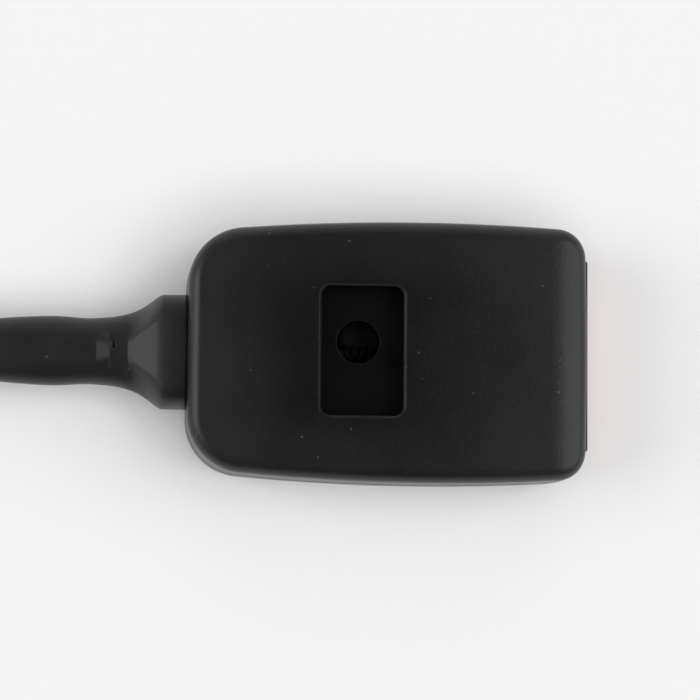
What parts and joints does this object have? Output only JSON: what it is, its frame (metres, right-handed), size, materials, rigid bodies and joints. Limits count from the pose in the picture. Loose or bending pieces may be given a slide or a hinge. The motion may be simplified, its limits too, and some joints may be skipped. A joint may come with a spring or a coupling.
{
  "type": "seat belt buckle",
  "caption": "End-release seat belt buckle on a sleeved wire rope stalk with an anchor plate; thumb button, latch and ejector work.",
  "frame": {"origin": "centre of the anchor bolt hole, on the anchor plate's lower face", "axes": "+X along the stalk to the tongue mouth, +Y across, +Z out of the rear cover"},
  "size_m": [0.2244, 0.0542, 0.025],
  "materials": {
    "housing_plastic": "fine moulded grain, satin",
    "bezel_plastic": "smooth satin",
    "button_plastic": "smooth red, satin gloss",
    "guide_plastic": "smooth",
    "ejector_plastic": "natural acetal",
    "frame_steel": "black phosphated",
    "latch_steel": "hardened and oiled",
    "pin_steel": "zinc plated",
    "spring_steel": "drawn wire",
    "rope_steel": "galvanized strands",
    "sleeve_rubber": "smooth moulded, satin",
    "anchor_steel": "zinc plated"
  },
  "bodies": {
    "housing": {"rear_cover": "housing_plastic", "front_cover": "housing_plastic", "mouth_bezel": "bezel_plastic", "button_spring_left": "spring_steel", "button_spring_right": "spring_steel", "frame": "frame_steel", "tongue_guide": "guide_plastic", "latch_pin": "pin_steel", "latch_spring": "spring_steel", "ejector_spring": "spring_steel", "spring_seat": "guide_plastic", "wire_rope": "rope_steel", "cable_thimble": "pin_steel", "loop_rivet": "pin_steel", "loop_washer": "pin_steel", "cable_sleeve": "sleeve_rubber", "ferrule": "anchor_steel", "anchor_plate": "anchor_steel"},
    "button": {"release_button": "button_plastic", "lock_bar": "pin_steel"},
    "latch": {"latch": "latch_steel"},
    "ejector": {"ejector": "ejector_plastic"}
  },
  "joints": [
    {"name": "button_press", "type": "slide", "parent": "housing", "child": "button", "axis": [-1, 0, 0], "range_m": [0, 0.006], "stiffness_N_per_m": 1500, "springref_m": -0.002, "deforming": ["button_spring_left", "button_spring_right"]},
    {"name": "latch_pivot", "type": "hinge", "parent": "housing", "child": "latch", "pos_m": [0.16, 0, 0.01075], "axis": [0, 1, 0], "range_deg": [0, 7.5], "deforming": ["latch_spring"]},
    {"name": "ejector_slide", "type": "slide", "parent": "housing", "child": "ejector", "axis": [-1, 0, 0], "range_m": [0, 0.009], "stiffness_N_per_m": 600, "springref_m": -0.003, "deforming": ["ejector_spring"]}
  ],
  "couplings": [
    {"joint": "latch_pivot", "follows": "button_press", "rad_per_m": 21.8}
  ]
}
